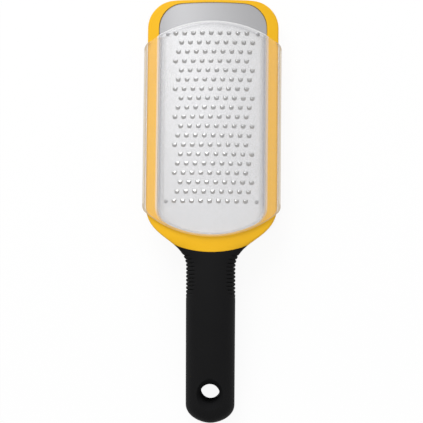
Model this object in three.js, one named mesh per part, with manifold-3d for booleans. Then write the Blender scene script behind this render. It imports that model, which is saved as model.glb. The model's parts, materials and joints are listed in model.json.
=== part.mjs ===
// A hand grater lying on a table, grating side up: a domed steel plate in a moulded frame,
// a soft finned grip on a stiff core, and a slip-on cover that slides off over the tip.
// Millimetres. x runs across, y from the end of the handle to the tip, z up.

import * as THREE from 'three';
import { mergeVertices } from 'three/addons/utils/BufferGeometryUtils.js';
import Module from 'manifold-3d';

const wasm = await Module();
wasm.setup();

// Head. Its own frame is level: y = 0 where the straight sides end, z = 0 at the skirt's lower edge.
const HEAD_WIDTH = 89.2;
const HEAD_LENGTH = 138.6;
const HEAD_DEPTH = 14.6;
const DOME_RADIUS = 150;
const TIP_CORNER_RADIUS = 17.7;
const EDGE_ROUND = 1.2;
const RAIL_EDGE = 2.6;
const SKIRT_INSET = 3.6;
const SKIRT_WALL = 2.2;
const SHELF = 1.2;

// Window that shows the plate.
const RAIL_WIDTH = 7.8;
const TIP_RIM = 1.7;
const WINDOW_TIP_RADIUS = 500;
const WINDOW_TIP_CORNER = 16;
const WINDOW_HEEL = 19.7;
const WINDOW_HEEL_RADIUS = 67.6;
const WINDOW_HEEL_CORNER = 13.6;
const RIM_LIP = 0.6;
const HEEL_LEDGE = 4.4;

// Shoulder and handle.
const SHOULDER_LENGTH = 40.3;
const SHOULDER_FULLNESS = 23.6;
const NECK_FULLNESS = 15.8;
const HANDLE_WIDTH = 33.4;
const HANDLE_LENGTH = 107.7;
const HANDLE_END_LENGTH = 12.5;
const NECK_DEPTH = 15.2;
const SWELL_START = 20;
const SWELL_END = 80;
const GRIP_DEPTH = 23;
const GRIP_END_DEPTH = 20.6;
const GRIP_WALL = 4.5;
const HANDLE_BEND = THREE.MathUtils.degToRad(8.5);
const BEND_START = 16;
const BEND_LENGTH = 36;
const NECK_JOIN = 32.1;
const NECK_JOIN_RADIUS = 78.1;
const TENON_START = 18;

// Fins on the sides of the grip, and the hanging hole.
const FIN_COUNT = 11;
const FIN_PITCH = 2.56;
const FIN_START = 34.2;
const FIN_GROOVE_WIDTH = 1.3;
const FIN_GROOVE_DEPTH = 1.1;
const FIN_REACH = 0.62;
const HANG_HOLE_DIAMETER = 13.2;
const HANG_DISH_DIAMETER = 22.4;
const HANG_DISH_DEPTH = 4.5;
const HANG_HOLE_TO_END = 21.2;

// Plate and its teeth.
const PLATE_THICKNESS = 0.6;
const PLATE_EMBED = 1.6;
const PLATE_TIP_EMBED = 0.7;
const TOOTH_ROWS = 19;
const TOOTH_COLUMNS = 9;
const TOOTH_ROW_PITCH = 6.32;
const TOOTH_COLUMN_PITCH = 6.05;
const TOOTH_FIELD_START = 1.9;
const TOOTH_FIELD_SHIFT = 1.0;
const TOOTH_WIDTH = 3.2;
const TOOTH_RISE = 0.9;
const TOOTH_LENGTH = 1.6;
const TOOTH_EDGE_WIDTH = 1.6;
const TOOTH_EDGE_THICKNESS = 0.25;
const OPENING_LENGTH = 2.7;
const OPENING_END_WIDTH = 2.0;

// Rivets at the corners of the plate, in lugs of the frame.
const RIVET_INSET = 6.0;
const RIVET_HEAD_DIAMETER = 2.6;
const RIVET_HEAD_HEIGHT = 0.6;
const RIVET_CROWN_DIAMETER = 2.1;
const RIVET_CROWN_HEIGHT = 0.4;
const RIVET_SHANK_DIAMETER = 1.5;
const LUG_LENGTH = 6.4;
const LUG_THICKNESS = 2.0;
const LUG_MARGIN = 3.6;

// Foot under the tip.
const FOOT_WIDTH = 6.4;
const FOOT_DEPTH = 4.0;
const FOOT_KEY_WIDTH = 2.2;
const FOOT_KEY_HEIGHT = 1.4;
const FOOT_LAND_WALL = 2.6;

// Cover.
const COVER_WALL = 1.2;
const COVER_SIDE_WALL = 1.5;
const COVER_FIT = 0.4;
const COVER_SIDE_FIT = 0.6;
const COVER_DOME_RISE = 1.8;
const COVER_DOME_LAP = 0.4;
const COVER_STEP = 1.8;
const COVER_BARE_TIP = 14.8;
const COVER_TIP_RADIUS = 80;
const COVER_CORNER = 6;
const COVER_HEEL_LAP = 1.8;
const COVER_HEEL_RADIUS = 70;
const COVER_RAIL_GAP = 0.6;

// Gap between pieces that are fixed to each other.
const FIT = 0.3;

// Cutting shapes run past the faces they cut, a little or right through.
const OVERRUN = 1;
const FAR = 400;

// Shortest step between points of an outline.
const MIN_STEP = 0.3;

// Derived places.
const headHalf = HEAD_WIDTH / 2;
const handleHalf = HANDLE_WIDTH / 2;
const handleEnd = -SHOULDER_LENGTH - HANDLE_LENGTH;
const domeCentre = HEAD_DEPTH - DOME_RADIUS;
const plateTop = -RIM_LIP - FIT;
const plateUnderside = plateTop - PLATE_THICKNESS;
const slotFloor = plateUnderside - FIT;
const railUnderside = domeHeight(headHalf) - RAIL_EDGE;
const skirtHalf = headHalf - SKIRT_INSET;
const hangHoleY = handleEnd + HANG_HOLE_TO_END;

// Height of the dome, or of a surface parallel to it, at a distance from the middle.
function domeHeight(x, offset = 0) {
  return domeCentre + Math.sqrt((DOME_RADIUS + offset) ** 2 - x ** 2);
}

// Solids for joining and cutting.

function toSolid(geometry) {
  geometry.deleteAttribute('normal');
  geometry.deleteAttribute('uv');
  const merged = mergeVertices(geometry);
  const mesh = new wasm.Mesh({
    numProp: 3,
    vertProperties: new Float32Array(merged.attributes.position.array),
    triVerts: new Uint32Array(merged.index.array),
  });
  return new wasm.Manifold(mesh);
}

function toGeometry(solid) {
  const mesh = solid.getMesh();
  const geometry = new THREE.BufferGeometry();
  geometry.setAttribute('position', new THREE.BufferAttribute(mesh.vertProperties, 3));
  geometry.setIndex(new THREE.BufferAttribute(mesh.triVerts, 1));
  geometry.computeVertexNormals();
  return geometry;
}

function extrude(shape, depth, segments) {
  return new THREE.ExtrudeGeometry(shape, { depth, bevelEnabled: false, curveSegments: segments });
}

// A plan drawn in x and y, standing from one height to another.
function alongZ(shape, low, high, segments = 4) {
  return toSolid(extrude(shape, high - low, segments).translate(0, 0, low));
}

// A section drawn in x and z, running along y.
function alongY(shape, low, high, segments = 8) {
  const turn = new THREE.Matrix4().makeBasis(
    new THREE.Vector3(1, 0, 0), new THREE.Vector3(0, 0, 1), new THREE.Vector3(0, -1, 0));
  return toSolid(extrude(shape, high - low, segments).applyMatrix4(turn).translate(0, high, 0));
}

// A side view drawn in y and z, running along x.
function alongX(shape, low, high, segments = 4) {
  const turn = new THREE.Matrix4().makeBasis(
    new THREE.Vector3(0, 1, 0), new THREE.Vector3(0, 0, 1), new THREE.Vector3(1, 0, 0));
  return toSolid(extrude(shape, high - low, segments).applyMatrix4(turn).translate(low, 0, 0));
}

function polygon(points) {
  return new THREE.Shape(points.map(([a, b]) => new THREE.Vector2(a, b)));
}

function rectangle(left, low, right, high) {
  return polygon([[left, low], [right, low], [right, high], [left, high]]);
}

// Skin through convex sections that stand square to y, ordered from low y to high y.
function loft(sections) {
  const count = sections[0].points.length;
  const positions = sections.flatMap(({ y, points }) => points.flatMap(({ x, z }) => [x, y, z]));
  const indices = [];
  const last = (sections.length - 1) * count;
  for (let ring = 0; ring < last; ring += count) {
    for (let k = 0; k < count; k++) {
      const here = ring + k;
      const next = ring + (k + 1) % count;
      indices.push(here, here + count, next + count, here, next + count, next);
    }
  }
  for (let k = 1; k < count - 1; k++) {
    indices.push(0, k, k + 1, last, last + k + 1, last + k);
  }
  const geometry = new THREE.BufferGeometry();
  geometry.setAttribute('position', new THREE.Float32BufferAttribute(positions, 3));
  geometry.setIndex(indices);
  return toSolid(geometry);
}

// Plan outlines: straight sides, an arched tip and heel, rounded corners.

function paddleOutline({ half, tip, tipRadius, tipCorner, heel, heelRadius, heelCorner }) {
  const shape = new THREE.Shape();
  const tipCentre = tip - tipRadius;
  const tipCornerY = tipCentre + Math.sqrt((tipRadius - tipCorner) ** 2 - (half - tipCorner) ** 2);
  const tipAngle = Math.atan2(tipCornerY - tipCentre, half - tipCorner);
  const heelCentre = heel + heelRadius;
  const heelCornerY = heelCentre - Math.sqrt((heelRadius - heelCorner) ** 2 - (half - heelCorner) ** 2);
  const heelAngle = Math.atan2(heelCornerY - heelCentre, half - heelCorner);
  shape.absarc(half - tipCorner, tipCornerY, tipCorner, 0, tipAngle, false);
  shape.absarc(0, tipCentre, tipRadius, tipAngle, Math.PI - tipAngle, false);
  shape.absarc(tipCorner - half, tipCornerY, tipCorner, Math.PI - tipAngle, Math.PI, false);
  shape.absarc(heelCorner - half, heelCornerY, heelCorner, Math.PI, Math.PI - heelAngle, false);
  shape.absarc(0, heelCentre, heelRadius, Math.PI - heelAngle, 2 * Math.PI + heelAngle, false);
  shape.absarc(half - heelCorner, heelCornerY, heelCorner, heelAngle, 0, false);
  return shape;
}

function grown(outline, by) {
  return {
    half: outline.half + by,
    tip: outline.tip + by,
    tipRadius: outline.tipRadius + by,
    tipCorner: outline.tipCorner + by,
    heel: outline.heel - by,
    heelRadius: outline.heelRadius + by,
    heelCorner: outline.heelCorner + by,
  };
}

const windowOutline = {
  half: headHalf - RAIL_WIDTH,
  tip: HEAD_LENGTH - TIP_RIM,
  tipRadius: WINDOW_TIP_RADIUS,
  tipCorner: WINDOW_TIP_CORNER,
  heel: -WINDOW_HEEL,
  heelRadius: WINDOW_HEEL_RADIUS,
  heelCorner: WINDOW_HEEL_CORNER,
};
const plateOutline = { ...grown(windowOutline, PLATE_EMBED), tip: windowOutline.tip + PLATE_TIP_EMBED };

// A sheet that follows the dome between two offsets from it.
function domeSheet(inner, outer, half, low, high) {
  const innerRadius = DOME_RADIUS + inner;
  const outerRadius = DOME_RADIUS + outer;
  const innerAngle = Math.acos(half / innerRadius);
  const outerAngle = Math.acos(half / outerRadius);
  const section = new THREE.Shape();
  section.absarc(0, domeCentre, outerRadius, outerAngle, Math.PI - outerAngle, false);
  section.absarc(0, domeCentre, innerRadius, Math.PI - innerAngle, innerAngle, true);
  return alongY(section, low, high);
}

// Skin of the whole body, from the end of the handle to the tip.

const SECTION_POINTS = 24;
const shoulderCurve = new THREE.CubicBezierCurve(
  new THREE.Vector2(headHalf, 0),
  new THREE.Vector2(headHalf, -SHOULDER_FULLNESS),
  new THREE.Vector2(handleHalf, NECK_FULLNESS - SHOULDER_LENGTH),
  new THREE.Vector2(handleHalf, -SHOULDER_LENGTH),
);

function shoulderHalfWidth(y) {
  let low = 0;
  let high = 1;
  for (let step = 0; step < 30; step++) {
    const middle = (low + high) / 2;
    if (shoulderCurve.getPoint(middle).y > y) low = middle;
    else high = middle;
  }
  return shoulderCurve.getPoint(low).x;
}

// Share of the full section that is left in the rounded end of the handle.
function endTaper(y) {
  const past = Math.max(0, handleEnd + HANDLE_END_LENGTH - y);
  return Math.sqrt(Math.max(0, 1 - (past / HANDLE_END_LENGTH) ** 2));
}

function halfWidth(y) {
  const cornerStart = HEAD_LENGTH - TIP_CORNER_RADIUS;
  if (y > cornerStart) {
    const rise = Math.sqrt(Math.max(0, TIP_CORNER_RADIUS ** 2 - (y - cornerStart) ** 2));
    return headHalf - TIP_CORNER_RADIUS + rise;
  }
  if (y >= 0) return headHalf;
  if (y > -SHOULDER_LENGTH) return shoulderHalfWidth(y);
  return handleHalf * endTaper(y);
}

function handleHalfDepth(y) {
  const swell = THREE.MathUtils.smoothstep(-y, SWELL_START, SWELL_END);
  const thin = THREE.MathUtils.smoothstep(-y, SWELL_END, -handleEnd);
  const full = THREE.MathUtils.lerp(NECK_DEPTH, GRIP_DEPTH, swell);
  return THREE.MathUtils.lerp(full, GRIP_END_DEPTH, thin) / 2;
}

// Middle of the handle: level at the head, then bent down towards its end.
function spineHeight(y) {
  const radius = BEND_LENGTH / Math.sin(HANDLE_BEND);
  const bent = THREE.MathUtils.clamp(-BEND_START - y, 0, BEND_LENGTH);
  const straight = Math.max(0, -BEND_START - BEND_LENGTH - y);
  const drop = radius - Math.sqrt(radius ** 2 - bent ** 2) + straight * Math.tan(HANDLE_BEND);
  return HEAD_DEPTH / 2 - drop;
}

function bodySection(y, groove = 0) {
  const half = halfWidth(y);
  const depth = handleHalfDepth(y) * Math.sqrt(endTaper(y));
  const spine = spineHeight(y);
  const roundness = THREE.MathUtils.smoothstep(-y, WINDOW_HEEL, SHOULDER_LENGTH + FIN_PITCH);
  const firstAngle = Math.PI / SECTION_POINTS;
  const points = [];
  for (let k = 0; k < SECTION_POINTS; k++) {
    const angle = firstAngle * (2 * k + 1);
    const across = Math.cos(angle) / Math.cos(firstAngle);
    const x = half * across;
    const rim = THREE.MathUtils.clamp(EDGE_ROUND - half + Math.abs(x), 0, EDGE_ROUND);
    const rounding = EDGE_ROUND - Math.sqrt(EDGE_ROUND ** 2 - rim ** 2);
    const flat = Math.sin(angle) > 0 ? domeHeight(x) - rounding : 0;
    const oval = spine + depth * Math.sin(angle);
    const reach = THREE.MathUtils.smoothstep(Math.abs(across), FIN_REACH, 1);
    const inward = 1 - groove * Math.sqrt(reach) / half;
    const z = THREE.MathUtils.lerp(flat, oval, roundness);
    points.push({ x: x * inward, z: spine + (z - spine) * inward });
  }
  return { y, points };
}

function bodySections() {
  const sections = [];
  const cornerStart = HEAD_LENGTH - TIP_CORNER_RADIUS;
  const CORNER_STEPS = 6;
  for (let step = CORNER_STEPS; step >= 0; step--) {
    sections.push(bodySection(cornerStart + TIP_CORNER_RADIUS * Math.sin(step / CORNER_STEPS * Math.PI / 2)));
  }
  const SHOULDER_STEPS = 10;
  for (let step = 0; step < SHOULDER_STEPS; step++) {
    sections.push(bodySection(-FIN_START * step / SHOULDER_STEPS));
  }
  for (let groove = 0; groove <= FIN_COUNT; groove++) {
    const middle = -FIN_START - groove * FIN_PITCH;
    sections.push(bodySection(middle + FIN_GROOVE_WIDTH / 2));
    sections.push(bodySection(middle, FIN_GROOVE_DEPTH));
    sections.push(bodySection(middle - FIN_GROOVE_WIDTH / 2));
  }
  const finEnd = sections[sections.length - 1].y;
  const endStart = handleEnd + HANDLE_END_LENGTH;
  const GRIP_STEPS = 5;
  for (let step = 1; step < GRIP_STEPS; step++) {
    sections.push(bodySection(THREE.MathUtils.lerp(finEnd, endStart, step / GRIP_STEPS)));
  }
  const END_STEPS = 6;
  for (let step = 0; step < END_STEPS; step++) {
    sections.push(bodySection(endStart - HANDLE_END_LENGTH * Math.sin(step / END_STEPS * Math.PI / 2)));
  }
  const hair = HANDLE_END_LENGTH / 1000;
  sections.push(bodySection(handleEnd + hair));
  return sections.reverse();
}

const sections = bodySections();
const body = loft(sections);

// Everything on the tip's side of the curved line where the frame meets the grip.
function headSide(gap) {
  const radius = NECK_JOIN_RADIUS + gap;
  const centre = NECK_JOIN_RADIUS - NECK_JOIN;
  const angle = Math.acos(headHalf / radius);
  const shape = new THREE.Shape();
  shape.moveTo(-headHalf, FAR);
  shape.lineTo(-headHalf, centre - radius * Math.sin(angle));
  shape.absarc(0, centre, radius, Math.PI + angle, 2 * Math.PI - angle, false);
  shape.lineTo(headHalf, FAR);
  return alongZ(shape, -FAR, FAR, 12);
}

// Stiff core of the handle, from its tenon in the neck to just short of the hanging hole.

const coreEnd = hangHoleY + HANG_DISH_DIAMETER / 2 + GRIP_WALL;

function coreSection(y, place, grow) {
  const half = handleHalf - GRIP_WALL + grow;
  const depth = handleHalfDepth(place) - GRIP_WALL + grow;
  const chamfer = depth / 2;
  const spine = spineHeight(y);
  const corner = [[half, depth - chamfer], [half - chamfer, depth]];
  const mirrored = corner.map(([x, z]) => [-x, z]).reverse();
  const upper = [...corner, ...mirrored];
  const lower = upper.map(([x, z]) => [-x, -z]);
  return { y, points: [...upper, ...lower].map(([x, z]) => ({ x, z: spine + z })) };
}

function coreSolid(grow) {
  const STEPS = 9;
  const stations = [];
  for (let step = 0; step <= STEPS; step++) {
    const place = THREE.MathUtils.lerp(coreEnd, -TENON_START, step / STEPS);
    const overrun = step === 0 ? -grow : step === STEPS ? grow : 0;
    stations.push(coreSection(place + overrun, place, grow));
  }
  return loft(stations);
}

// Foot: a soft strip with a key along its top, and a sole that lies flat on the table.

const footHalf = headHalf - TIP_CORNER_RADIUS;
const footFront = HEAD_LENGTH - FIT;
const footBack = footFront - FOOT_WIDTH;
const footMiddle = (footFront + footBack) / 2;

// Slope of the head when the sole's front edge and the handle's belly touch the table.
const restAngle = Math.max(...sections.map(({ y, points }) => {
  const belly = Math.min(...points.map(({ z }) => z));
  return y < 0 ? Math.atan2(-FOOT_DEPTH - belly, footFront - y) : 0;
}));

function footKey(grow) {
  const half = FOOT_KEY_WIDTH / 2 + grow;
  return rectangle(footMiddle - half, -FOOT_DEPTH / 2, footMiddle + half, FOOT_KEY_HEIGHT - FIT + grow);
}

function footSolid() {
  const soleBack = -FOOT_DEPTH - FOOT_WIDTH * Math.tan(restAngle);
  const strip = polygon([
    [footBack, soleBack], [footFront, -FOOT_DEPTH], [footFront, -FIT], [footBack, -FIT]]);
  return alongX(strip, -footHalf, footHalf).add(alongX(footKey(0), FIT - footHalf, footHalf - FIT));
}

// Rivets: low round heads, each in a lug of the frame.

const rivetRows = {
  tip: TOOTH_FIELD_START + (TOOTH_ROWS - 1) * TOOTH_ROW_PITCH,
  heel: TOOTH_FIELD_START,
};
const rivetX = windowOutline.half - RIVET_INSET;

// Puts a solid of revolution, drawn about the y axis, square on the dome.
function onDome(geometry, x, y) {
  const radius = DOME_RADIUS;
  const tilt = Math.asin(x / radius);
  return geometry.rotateX(Math.PI / 2).translate(0, 0, radius).rotateY(tilt).translate(0, y, domeCentre);
}

function revolve(profile, segments = 8) {
  return new THREE.LatheGeometry(profile.map(([r, h]) => new THREE.Vector2(r, h)), segments);
}

function rivetGeometry() {
  const head = RIVET_HEAD_DIAMETER / 2;
  const crown = RIVET_CROWN_DIAMETER / 2;
  const shank = RIVET_SHANK_DIAMETER / 2;
  const seat = plateTop + FIT / 2;
  const tail = slotFloor - LUG_THICKNESS - FIT / 2;
  return revolve([
    [0, tail - RIVET_HEAD_HEIGHT], [head, tail - RIVET_HEAD_HEIGHT], [head, tail], [shank, tail],
    [shank, seat], [head, seat], [crown, seat + RIVET_CROWN_HEIGHT], [0, seat + RIVET_HEAD_HEIGHT]]);
}

function rivetHole() {
  const radius = RIVET_SHANK_DIAMETER / 2 + FIT;
  return revolve([[0, -HEAD_DEPTH / 2], [radius, -HEAD_DEPTH / 2], [radius, RIM_LIP], [0, RIM_LIP]]);
}

function rivetHoles() {
  const holes = [];
  for (const y of Object.values(rivetRows)) {
    for (const side of [-1, 1]) holes.push(toSolid(onDome(rivetHole(), side * rivetX, y)));
  }
  return holes.reduce((all, hole) => all.add(hole));
}

// Frame.

function lugs() {
  const inner = rivetX - LUG_MARGIN;
  const outer = windowOutline.half + PLATE_EMBED;
  let plan = null;
  for (const y of Object.values(rivetRows)) {
    for (const side of [-1, 1]) {
      const left = side > 0 ? inner : -outer;
      const right = side > 0 ? outer : -inner;
      const lug = alongZ(rectangle(left, y - LUG_LENGTH / 2, right, y + LUG_LENGTH / 2), 0, HEAD_DEPTH);
      plan = plan ? plan.add(lug) : lug;
    }
  }
  const sheet = domeSheet(slotFloor - LUG_THICKNESS, slotFloor, outer, -WINDOW_HEEL, HEAD_LENGTH);
  return plan.intersect(sheet);
}

function frameSolid() {
  const cavity = {
    ...grown(windowOutline, skirtHalf - SKIRT_WALL - windowOutline.half),
    tip: HEAD_LENGTH - SKIRT_WALL,
    heel: windowOutline.heel + HEEL_LEDGE,
  };
  const cavityTop = domeHeight(cavity.half, slotFloor) - SHELF;
  const lowCavity = { ...cavity, tip: footBack - SKIRT_WALL };
  const landTop = FOOT_LAND_WALL + FOOT_KEY_HEIGHT;
  const slot = grown(plateOutline, FIT);
  const slotSheet = domeSheet(slotFloor, -RIM_LIP, slot.half, slot.heel - OVERRUN, slot.tip + OVERRUN);
  let frame = body.intersect(headSide(0));
  frame = frame.subtract(alongZ(paddleOutline(windowOutline), landTop, FAR));
  frame = frame.subtract(alongZ(paddleOutline(cavity), landTop, cavityTop));
  frame = frame.subtract(alongZ(paddleOutline(lowCavity), -OVERRUN, landTop + OVERRUN));
  for (const side of [-1, 1]) {
    const near = side * skirtHalf;
    const beyond = side * HEAD_WIDTH;
    const channel = rectangle(Math.min(near, beyond), -OVERRUN, Math.max(near, beyond), railUnderside);
    frame = frame.subtract(alongY(channel, 0, FAR));
  }
  frame = frame.add(lugs());
  frame = frame.subtract(alongZ(paddleOutline(slot), 0, FAR).intersect(slotSheet));
  frame = frame.subtract(rivetHoles());
  frame = frame.subtract(coreSolid(FIT));
  return frame.subtract(alongX(footKey(FIT), -footHalf, footHalf));
}

// Plate: a domed sheet, laid out in plan as strips between rows of openings. Each opening is a
// rounded slot, and its tooth is a tongue pressed up from the slot's edge on the tip's side.

const openingFar = OPENING_LENGTH / 2;
const toothHalf = TOOTH_WIDTH / 2;
const openingEndHalf = OPENING_END_WIDTH / 2;
const toothEdgeHalf = TOOTH_EDGE_WIDTH / 2;
const toothEdgeY = openingFar - TOOTH_LENGTH;
const openingShoulderY = toothHalf - openingEndHalf - openingFar;

// Half the plate's width at a place along it, where its rounded corners may cut in.
function plateHalf(y) {
  const { half, tip, tipRadius, tipCorner, heel, heelRadius, heelCorner } = plateOutline;
  const tipReach = Math.sqrt((tipRadius - tipCorner) ** 2 - (half - tipCorner) ** 2);
  const heelReach = Math.sqrt((heelRadius - heelCorner) ** 2 - (half - heelCorner) ** 2);
  const pastTip = Math.max(0, y - (tip - tipRadius + tipReach));
  const pastHeel = Math.max(0, heel + heelRadius - heelReach - y);
  if (pastTip > 0) return half - tipCorner + Math.sqrt(tipCorner ** 2 - pastTip ** 2);
  return half - heelCorner + Math.sqrt(heelCorner ** 2 - pastHeel ** 2);
}

function plateSheet() {
  const positions = [];
  const indices = [];

  // A place in plan, with a vertex on the upper face and one on the lower face.
  function pillar(x, y, top = plateTop, low = plateUnderside) {
    const lean = Math.asin(x / DOME_RADIUS);
    const [topIndex, lowIndex] = [top, low].map((offset) => {
      const radius = DOME_RADIUS + offset;
      positions.push(radius * Math.sin(lean), y, domeCentre + radius * Math.cos(lean));
      return positions.length / 3 - 1;
    });
    return { x, y, top: topIndex, low: lowIndex };
  }

  function face(a, b, c) {
    indices.push(a.top, b.top, c.top, c.low, b.low, a.low);
  }

  // Edge of the sheet, with the material on the left when looking from a to b.
  function wall(a, b) {
    indices.push(a.low, b.low, b.top, a.low, b.top, a.top);
  }

  function walls(chain) {
    for (let k = 1; k < chain.length; k++) wall(chain[k - 1], chain[k]);
  }

  // Fills between two chains of pillars that both run towards +x.
  function strip(lower, upper) {
    let i = 0;
    let j = 0;
    while (i < lower.length - 1 || j < upper.length - 1) {
      const lowerNext = i < lower.length - 1 ? lower[i + 1].x : Infinity;
      const upperNext = j < upper.length - 1 ? upper[j + 1].x : Infinity;
      if (lowerNext <= upperNext) {
        face(lower[i], lower[i + 1], upper[j]);
        i += 1;
      } else {
        face(lower[i], upper[j + 1], upper[j]);
        j += 1;
      }
    }
  }

  // One row of teeth across the plate: its chain on the handle's side and on the tip's side.
  function toothRow(row) {
    const y = TOOTH_FIELD_START + row * TOOTH_ROW_PITCH;
    const shift = TOOTH_FIELD_SHIFT + (row % 3 - 1) * TOOTH_COLUMN_PITCH / 3;
    const lowY = y + openingShoulderY;
    const topY = y + openingFar;
    const lower = [pillar(-plateHalf(lowY), lowY)];
    const upper = [pillar(-plateHalf(topY), topY)];
    for (let column = 0; column < TOOTH_COLUMNS; column++) {
      const x = (column - (TOOTH_COLUMNS - 1) / 2) * TOOTH_COLUMN_PITCH + shift;
      const leftSide = pillar(x - toothHalf, lowY);
      const leftEnd = pillar(x - openingEndHalf, y - openingFar);
      const rightEnd = pillar(x + openingEndHalf, y - openingFar);
      const rightSide = pillar(x + toothHalf, lowY);
      const leftRoot = pillar(x - toothHalf, topY);
      const rightRoot = pillar(x + toothHalf, topY);
      const edgeTop = plateTop + TOOTH_RISE;
      const edgeLow = edgeTop - TOOTH_EDGE_THICKNESS;
      const leftEdge = pillar(x - toothEdgeHalf, y + toothEdgeY, edgeTop, edgeLow);
      const rightEdge = pillar(x + toothEdgeHalf, y + toothEdgeY, edgeTop, edgeLow);
      strip([lower[lower.length - 1], leftSide], [upper[upper.length - 1], leftRoot]);
      walls([rightRoot, rightSide, rightEnd, leftEnd, leftSide, leftRoot, leftEdge, rightEdge, rightRoot]);
      strip([leftEdge, rightEdge], [leftRoot, rightRoot]);
      lower.push(leftSide, leftEnd, rightEnd, rightSide);
      upper.push(leftRoot, rightRoot);
    }
    const lastLower = pillar(plateHalf(lowY), lowY);
    const lastUpper = pillar(plateHalf(topY), topY);
    strip([lower[lower.length - 1], lastLower], [upper[upper.length - 1], lastUpper]);
    return { lower: [...lower, lastLower], upper: [...upper, lastUpper] };
  }

  // The part of the plate's outline past a row, from left to right.
  function outlineChain(isPast) {
    const chain = [];
    const points = paddleOutline(plateOutline).getPoints(6).filter(({ y }) => isPast(y));
    for (const { x, y } of points.sort((a, b) => a.x - b.x)) {
      if (chain.length === 0 || x - chain[chain.length - 1].x > MIN_STEP) chain.push(pillar(x, y));
    }
    return chain;
  }

  const rows = Array.from({ length: TOOTH_ROWS }, (_, row) => toothRow(row));
  const firstRow = rows[0].lower;
  const lastRow = rows[rows.length - 1].upper;
  const heelChain = outlineChain((y) => y < firstRow[0].y);
  const tipChain = outlineChain((y) => y > lastRow[0].y);
  strip(heelChain, firstRow);
  for (let row = 1; row < rows.length; row++) strip(rows[row - 1].upper, rows[row].lower);
  strip(lastRow, tipChain);
  const sides = rows.flatMap(({ lower, upper }) => [lower, upper]);
  const rightSide = sides.map((chain) => chain[chain.length - 1]);
  const leftSide = sides.map((chain) => chain[0]).reverse();
  walls([...heelChain, ...rightSide, ...tipChain.reverse(), ...leftSide, heelChain[0]]);

  const geometry = new THREE.BufferGeometry();
  geometry.setAttribute('position', new THREE.Float32BufferAttribute(positions, 3));
  geometry.setIndex(indices);
  return geometry;
}

function plateSolid() {
  return toSolid(plateSheet()).subtract(rivetHoles());
}

// Grip.

function hangHole() {
  const throat = HANG_HOLE_DIAMETER / 2;
  const flare = (HANG_DISH_DIAMETER - HANG_HOLE_DIAMETER) / 2;
  const surface = handleHalfDepth(hangHoleY);
  const FLARE_STEPS = 6;
  const top = surface + HANG_DISH_DEPTH / 2;
  const side = [];
  for (let step = 0; step <= FLARE_STEPS; step++) {
    const height = THREE.MathUtils.lerp(surface - HANG_DISH_DEPTH, top, step / FLARE_STEPS);
    const rise = (height - surface) / HANG_DISH_DEPTH + 1;
    side.push([throat + flare * rise ** 2, height]);
  }
  const mirrored = side.map(([r, h]) => [r, -h]).reverse();
  return revolve([[0, -top], ...mirrored, ...side, [0, top]], 24)
    .rotateX(Math.PI / 2 + HANDLE_BEND)
    .translate(0, hangHoleY, spineHeight(hangHoleY));
}

function gripSolid() {
  return body.subtract(headSide(FIT)).subtract(coreSolid(FIT)).subtract(toSolid(hangHole()));
}

// Cover.

const coverSideInner = headHalf + COVER_SIDE_FIT;
const coverHalf = coverSideInner + COVER_SIDE_WALL;
const coverBand = COVER_FIT + COVER_WALL;
const coverOutline = {
  half: coverHalf,
  tip: HEAD_LENGTH - COVER_BARE_TIP,
  tipRadius: COVER_TIP_RADIUS,
  tipCorner: COVER_CORNER,
  heel: windowOutline.heel - COVER_HEEL_LAP,
  heelRadius: COVER_HEEL_RADIUS,
  heelCorner: COVER_CORNER,
};
const coverDomeOutline = grown(windowOutline, COVER_DOME_LAP);

// Section of the raised part: a dome with sloped sides, down to a lower dome.
function raisedSection(base, inset, low, high) {
  const topRadius = DOME_RADIUS + high;
  const lowRadius = DOME_RADIUS + low;
  const topAngle = Math.acos((base - inset) / topRadius);
  const lowAngle = Math.acos(base / lowRadius);
  const section = new THREE.Shape();
  section.absarc(0, domeCentre, topRadius, topAngle, Math.PI - topAngle, false);
  section.absarc(0, domeCentre, lowRadius, Math.PI - lowAngle, lowAngle, true);
  return section;
}

function coverRail(side) {
  const lipTop = railUnderside - COVER_FIT;
  const lipLow = lipTop - COVER_WALL;
  const lipInner = skirtHalf + COVER_SIDE_FIT;
  const wallTop = domeHeight(coverHalf, coverBand);
  const section = polygon([
    [lipInner, lipLow], [coverHalf, lipLow], [coverHalf, wallTop], [coverSideInner, wallTop],
    [coverSideInner, lipTop], [lipInner, lipTop]].map(([x, z]) => [side * x, z]));
  return alongY(section, COVER_RAIL_GAP, HEAD_LENGTH);
}

function coverSolid() {
  const { half, heel, tip } = coverOutline;
  const low = heel - OVERRUN;
  const high = tip + OVERRUN;
  const domeTop = coverBand + COVER_DOME_RISE;
  const base = coverDomeOutline.half;
  const hollowBase = base - COVER_SIDE_WALL;
  const raised = alongY(raisedSection(base, COVER_STEP, COVER_FIT, domeTop), low, high)
    .intersect(alongZ(paddleOutline({ ...coverDomeOutline, tip: FAR }), 0, FAR));
  const hollow = alongY(raisedSection(hollowBase, COVER_STEP, -RIM_LIP, domeTop - COVER_WALL), low, high)
    .intersect(alongZ(paddleOutline({ ...grown(coverDomeOutline, -COVER_SIDE_WALL), tip: FAR }), 0, FAR));
  return domeSheet(COVER_FIT, coverBand, half, low, high)
    .add(raised)
    .subtract(hollow)
    .add(coverRail(-1))
    .add(coverRail(1))
    .intersect(alongZ(paddleOutline(coverOutline), -FAR, FAR));
}

// Finishes.

const frameYellow = new THREE.MeshStandardMaterial({ color: 0xedba1e, roughness: 0.35, metalness: 0 });
const plateSteel = new THREE.MeshStandardMaterial({ color: 0xc4c4c6, roughness: 0.35, metalness: 1 });
const gripBlack = new THREE.MeshStandardMaterial({ color: 0x202021, roughness: 0.75, metalness: 0 });
const coreBlack = new THREE.MeshStandardMaterial({ color: 0x2a2a2c, roughness: 0.5, metalness: 0 });
const coverFrost = new THREE.MeshStandardMaterial({
  color: 0xf1f1f2, roughness: 0.4, metalness: 0, transparent: true, opacity: 0.35 });

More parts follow.
